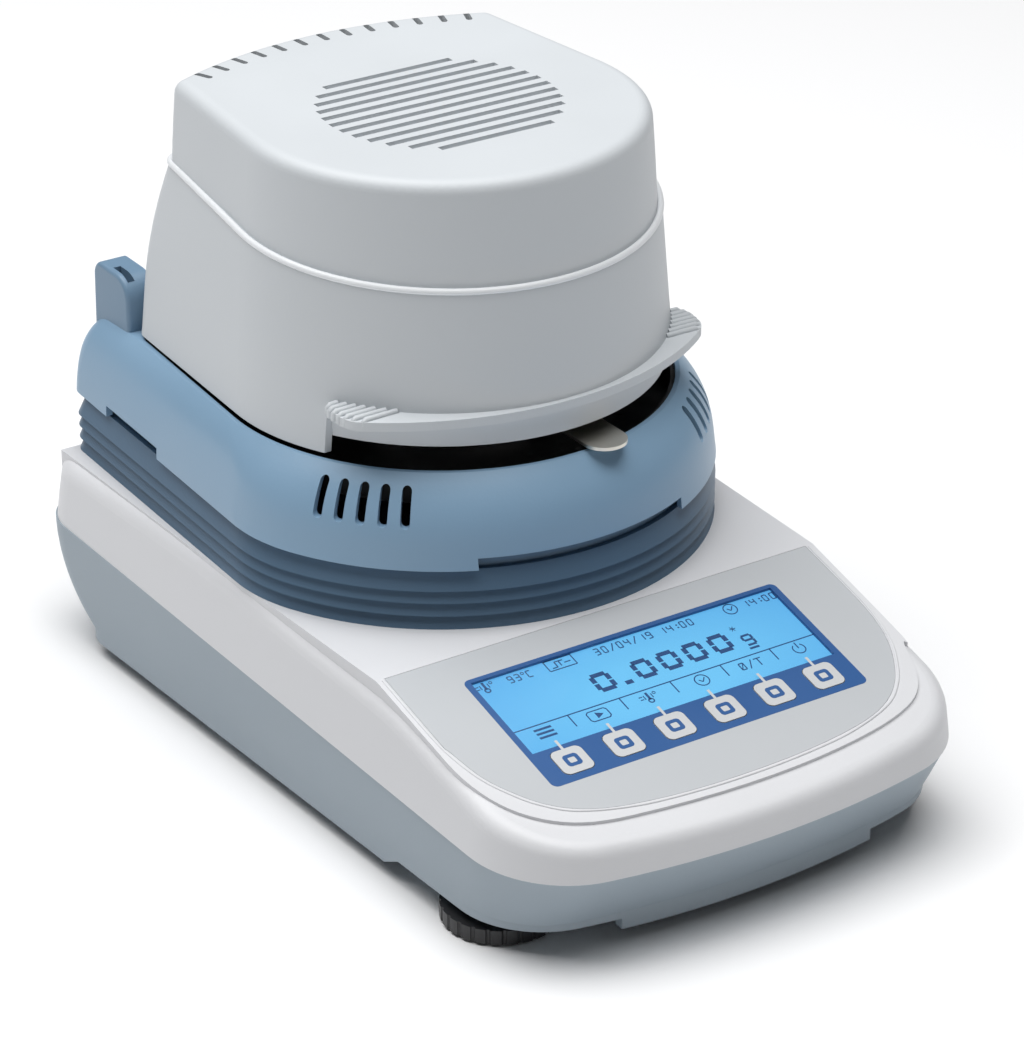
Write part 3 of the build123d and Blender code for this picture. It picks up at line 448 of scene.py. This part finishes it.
def small(text, x, y, w=2.0, h=3.4, t=0.42, step=2.75):
    for c in text:
        if c == ":":
            bar(x + .8, y + .8, x + 1.4, y + 1.4)
            bar(x + .8, y + 2.1, x + 1.4, y + 2.7)
            x += step * .75
        elif c == "/":
            line(x + .2, y + h, x + w, y, t)
            x += step
        elif c == " ":
            x += step * .8
        elif c == "o":
            hoop(x + .6, y + .6, .7, .3, n=10)
            x += 1.8
        else:
            seg(c, x, y, w, h, t)
            x += step
    return x


small("30/04/19 14:00", -13.4, 3.0, step=3.0)
small("14:00", 47.4, 3.0, step=3.0)
small("93oC", -47.6, 3.0)
hoop(42.0, 4.7, 2.7, .4)
line(40.9, 4.2, 42.0, 5.4, .4)
line(42.0, 5.4, 43.4, 3.6, .4)
for x0, y0, x1, y1 in ((-32.2, 1.9, -21.6, 1.9), (-32.2, 6.8, -21.6, 6.8), (-32.2, 1.9, -32.2, 6.8), (-21.6, 1.9, -21.6, 6.8)):
    line(x0, y0, x1, y1, .4)
for x0, y0, x1, y1 in ((-30.6, 5.8, -28.6, 5.8), (-28.6, 5.8, -28.6, 3.2), (-28.6, 3.2, -25.4, 3.2), (-27.0, 3.2, -27.0, 5.6), (-25.4, 4.6, -23.0, 4.6)):
    line(x0, y0, x1, y1, .45)


def warm(cx, cy):
    """Thermometer with heat marks."""
    line(cx, cy - 2.4, cx, cy + 1.2, .9)
    hoop(cx, cy + 1.6, 1.2, .5, n=12)
    line(cx - 1.5, cy - 1.4, cx - 1.5, cy + .6, .35)
    line(cx + 1.5, cy - 1.4, cx + 1.5, cy + .6, .35)
    for k in range(2):
        line(cx - 3.4, cy - 1.0 + 1.3 * k, cx - 2.1, cy - 1.0 + 1.3 * k, .4)
    hoop(cx + 2.8, cy - 1.4, .7, .3, n=8)


warm(-56.4, 4.6)
# menu row: rule, dividers and signs over the six keys
line(-60.2, 27.2, 60.8, 27.2, .45)
for i in range(5):
    x = -39.0 + 20.3 * i
    line(x, 27.2, x, 33.0, .45)
for k in range(3):
    bar(-53.4, 28.9 + 1.9 * k, -46.8, 29.8 + 1.9 * k)
for x0, y0, x1, y1 in ((-32.4, 28.9, -26.2, 28.9), (-32.4, 33.6, -26.2, 33.6), (-33.2, 29.7, -33.2, 32.8), (-25.4, 29.7, -25.4, 32.8),
                       (-33.2, 29.7, -32.4, 28.9), (-33.2, 32.8, -32.4, 33.6), (-26.2, 28.9, -25.4, 29.7), (-26.2, 33.6, -25.4, 32.8)):
    line(x0, y0, x1, y1, .42)
s.prism([[(-30.2, 29.8), (-27.4, 31.2), (-30.2, 32.7)]], H0, H1, P)
warm(-9.2, 30.9)
hoop(12.1, 31.0, 2.8, .42)
line(11.0, 30.6, 12.1, 31.8, .4)
line(12.1, 31.8, 13.6, 30.0, .4)
seg("0", 27.6, 29.2, 2.2, 3.6, .45)
line(27.8, 32.6, 29.6, 29.4, .35)
line(31.0, 33.0, 33.0, 29.0, .4)
line(34.0, 29.4, 36.8, 29.4, .45)
line(35.4, 29.4, 35.4, 32.9, .45)
hoop(51.9, 31.2, 2.5, .42, -55, 235)
line(51.9, 28.0, 51.9, 31.0, .45)
s.done("lcd_figures", ink, "base")

# ------------------------------------------------------------------ bead round the panel
right = [(85.3, 12), (84.7, 27), (81.8, 40.9), (77.2, 50.7), (71.0, 59.5), (61.0, 67.2), (42.0, 72.9), (21.0, 75.2)]


def smooth_curve(pts, n=8):
    out = []
    for i in range(len(pts) - 1):
        p0 = pts[max(i - 1, 0)]
        p1, p2 = pts[i], pts[i + 1]
        p3 = pts[min(i + 2, len(pts) - 1)]
        for k in range(n):
            t = k / n
            out.append(tuple(0.5 * ((2 * b) + (-a + c) * t + (2 * a - 5 * b + 4 * c - d) * t * t + (-a + 3 * b - 3 * c + d) * t ** 3) for a, b, c, d in zip(p0, p1, p2, p3)))
    out.append(pts[-1])
    return out


edge = smooth_curve([(85.3, -11.0)] + right + [(0, 75.9)] + [(-x, y) for x, y in right[::-1]] + [(-85.3, -11.0)])


def offset(curve, d):
    out = []
    for i, (x, y) in enumerate(curve):
        a = curve[max(i - 1, 0)]
        b = curve[min(i + 1, len(curve) - 1)]
        tx, ty = b[0] - a[0], b[1] - a[1]
        ln = math.hypot(tx, ty)
        out.append((x + ty / ln * d, y - tx / ln * d))
    return out


s = Soup()
s.tube([tuple(c * 1000 for c in P(x, y, -0.12)) for x, y in offset(edge, 0.9)], 0.55, 10)
s.done("panel_bead", white, "base", True, 1.2)

# ------------------------------------------------------------------ hood: louvre blades and inner mesh
s = Soup()
for k in range(12):
    y = PY + 33.93 - 6.19 * k
    half = math.sqrt(41.6 ** 2 - (y - PY - 1.0) ** 2) - 0.3
    z = 216.2
    r0, r1 = [], []
    for x, ring in ((-half, r0), (half, r1)):
        ring += [(x / 1000, (y - 1.35) / 1000, (z - 0.1) / 1000), (x / 1000, (y - 0.75) / 1000, (z + 0.1) / 1000),
                 (x / 1000, (y + 1.9) / 1000, (z - 4.4) / 1000), (x / 1000, (y + 1.3) / 1000, (z - 4.8) / 1000)]
    s.rings([r0, r1])
s.done("grille_blades", hoodw, "hood")
s = Soup()
s.prism([[(x, y) for x, y in ring_pts(0, PY + 1.0, 45, 64)]], 207.6, 208.0, XY)
s.done("grille_screen", dark, "hood")
s = Soup()
for i in range(19):
    d = -40 + 80 * i / 18
    h = math.sqrt(max(0, 44 ** 2 - d * d))
    s.box((d - .3, PY + 1 - h, 208.0), (d + .3, PY + 1 + h, 208.5))
    s.box((-h, PY + 1 + d - .3, 208.4), (h, PY + 1 + d + .3, 208.8))
s.done("grille_mesh", bright, "hood")
s = Soup()
s.prism([ring_pts(0, PY - 70.5, 151, 40, 68, 112) + ring_pts(0, PY - 70.5, 141, 40, 68, 112)[::-1]], 206.0, 206.4, XY)
s.done("vent_screen", dark, "hood")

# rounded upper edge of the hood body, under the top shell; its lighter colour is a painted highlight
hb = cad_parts["hood_body"].data
tree = BVHTree.FromPolygons([v.co.copy() for v in hb.vertices], [tuple(q.vertices) for q in hb.polygons])
loop = []
for i in range(240):
    t = 2 * math.pi * i / 240
    d = Vector((math.cos(t), math.sin(t), 0))
    q = 22.5 * d.y
    y = 62 + d.y * (-q + math.sqrt(q * q + 74.7 ** 2 - 22.5 ** 2))
    for _ in range(3):
        z = (LEDGE_Z + LEDGE_K * (y - PY) - 2.0) / 1000
        hit = tree.ray_cast(Vector((0, 0.062, z)) + d * 0.3, -d)[0]
        if hit is None:
            break
        y = hit.y * 1000
    if hit is not None:
        loop.append((hit.x * 1000 - d.x * 0.75, y - d.y * 0.75, LEDGE_Z + LEDGE_K * (y - PY) + 0.1))
s = Soup()
s.tube(loop, 1.15, 16, True)
s.done("hood_ledge_bead", ledge_highlight_paint, "hood", True, 1.2)

# finger ribs on the lip's ends
s = Soup()
for sg in (-1, 1):
    for i in range(7):
        y = PY - 40.4 - 2.7 * i
        xi = math.sqrt(max(0, 78.2 ** 2 - (y - PY) ** 2))
        xo = [70.3, 71.2, 71.4, 71.0, 70.2, 68.8, 66.6][i]
        s.tube([(sg * xi, y, 139.5), (sg * (xo - 0.5), y - 0.2, 139.5), (sg * (xo + 0.25), y - 0.2, 138.9), (sg * (xo + 0.3), y - 0.2, 136.6)], 1.08, 12)
s.done("lip_ribs", hoodw, "hood", True, 1.0)

# ------------------------------------------------------------------ chamber inside
s = Soup()
for r in (18, 27, 36):
    s.turned((0, PY, 117.64), (0, 0, 1), [(r - .5, 0), (r - .2, 0.25), (r + .2, 0.25), (r + .5, 0)], 72)
s.done("pan_rings", alu, "pan_set", True, 1.0)
s = Soup()
for i in range(24):
    a = 2 * math.pi * i / 24
    s.cyl((62 * math.cos(a), PY + 62 * math.sin(a), 108.15), (0, 0, 1), 1.3, 0.25, 12)
s.done("shield_dimples", dark, "base")
s = Soup()
for x, y in ((66.5, PY), (-66.5, PY), (0, PY + 66.5), (0, PY - 66.5)):
    s.cyl((x, y, 129.4), (0, 0, -1), 2.6, 0.9, 20)
s.done("retainer_screws", bright, "hood", True)

# ------------------------------------------------------------------ electronics
s = Soup()
for x, y in ((-62, 66), (-52, 100)):
    for i in range(8):
        for sx in (-1, 1):
            s.box((x + sx * 8 - .9, y - 7 + 2 * i - .3, 33.6), (x + sx * 8 + .9, y - 7 + 2 * i + .3, 34.6))
s.done("chip_legs", bright, "base")
s = Soup()
for x, y in ((-62, 66), (-52, 100)):
    s.box((x - 7.9, y - 7.9, 36.55), (x + 7.9, y + 7.9, 36.6))
s.done("chip_tops", chip, "base")
s = Soup()
s.box((38.5, 92.5, 58.5), (73.5, 123.5, 58.6))
s.done("transformer_top", yellow, "base")

# ------------------------------------------------------------------ rear connectors
s = Soup()
for i in range(5):
    s.cyl((-5.6 + 2.8 * i, 153.0, 57.2), (0, 1, 0), 0.5, 4.6, 10)
for i in range(4):
    s.cyl((-4.2 + 2.8 * i, 153.0, 54.6), (0, 1, 0), 0.5, 4.6, 10)
s.done("serial_pins", brass, "base")
s = Soup()
for x in (-12.6, 12.6):
    s.turned((x, 158.9, 56), (0, 1, 0), [(2.6, 0), (2.6, 0.5), (1.4, 0.5), (1.4, 0.1)], 6)
s.done("serial_jack_nuts", bright, "base")
s = Soup()
for x in (-14.2, 14.2):
    s.turned((-52 + x, 159.42, 64.0), (0, 1, 0), [(0.9, 0), (0.9, 0.05)], 12)
s.done("inlet_marks", dark, "base")

# ------------------------------------------------------------------ underside: blank plate
s = Soup()
s.prism([rrect(0, 88, 70, 26, 3)], 9.38, 9.5, XY)
s.done("type_plate_blank", plate_m, "base")

# ------------------------------------------------------------------ floor, camera, light
bpy.ops.mesh.primitive_plane_add(size=30, location=(0, 0, -0.0002))
floor = bpy.context.object
floor.name = "floor"
fm = bpy.data.materials.new("floor_m")
fm.use_nodes = True
fb = fm.node_tree.nodes["Principled BSDF"]
fb.inputs["Base Color"].default_value = (0.93, 0.93, 0.935, 1)
fb.inputs["Roughness"].default_value = 0.7
fb.inputs["Specular IOR Level"].default_value = 0.15
ft = fm.node_tree.nodes.new("ShaderNodeTexNoise")
ft.inputs["Scale"].default_value = 3.0
fr = fm.node_tree.nodes.new("ShaderNodeMapRange")
fr.inputs["To Min"].default_value = 0.66
fr.inputs["To Max"].default_value = 0.74
fm.node_tree.links.new(ft.outputs["Fac"], fr.inputs["Value"])
fm.node_tree.links.new(fr.outputs["Result"], fb.inputs["Roughness"])
floor.data.materials.append(fm)

a, e = math.radians(-33.36), math.radians(26.945)
back = Vector((math.sin(a) * math.cos(e), -math.cos(a) * math.cos(e), math.sin(e)))
cam_data = bpy.data.cameras.new("cam")
cam = bpy.data.objects.new("cam", cam_data)
bpy.context.scene.collection.objects.link(cam)
cam.location = (-0.686083, -1.045758, 0.712826)
cam.rotation_euler = (-back).to_track_quat("-Z", "Y").to_euler()
cam_data.sensor_fit = "AUTO"
cam_data.sensor_width = 36
cam_data.lens = 36 * 4080.263 / 1041
cam_data.clip_start = 0.01
cam_data.clip_end = 100
bpy.context.scene.camera = cam


def area(name, loc, target, size, power, color=(1, 1, 1), size_y=None):
    d = bpy.data.lights.new(name, "AREA")
    d.shape = "RECTANGLE"
    d.size = size
    d.size_y = size_y or size
    d.energy = power
    d.color = color
    o = bpy.data.objects.new(name, d)
    bpy.context.scene.collection.objects.link(o)
    o.location = loc
    o.rotation_euler = (Vector(target) - Vector(loc)).to_track_quat("-Z", "Y").to_euler()
    return o


area("top_soft", (-0.20, 0.22, 2.2), (0, 0, 0.0), 1.8, 75, (1, 1, 1), 2.9)
area("left_soft", (-1.5, -1.3, 1.0), (0, 0, 0.12), 0.9, 0.35, (1, 1, 1))

wd = bpy.data.worlds.new("studio")
wd.use_nodes = True
wd.node_tree.nodes["Background"].inputs["Color"].default_value = (0.93, 0.95, 0.97, 1)
wd.node_tree.nodes["Background"].inputs["Strength"].default_value = 0.10
bpy.context.scene.world = wd
bpy.context.scene.view_settings.view_transform = "Standard"
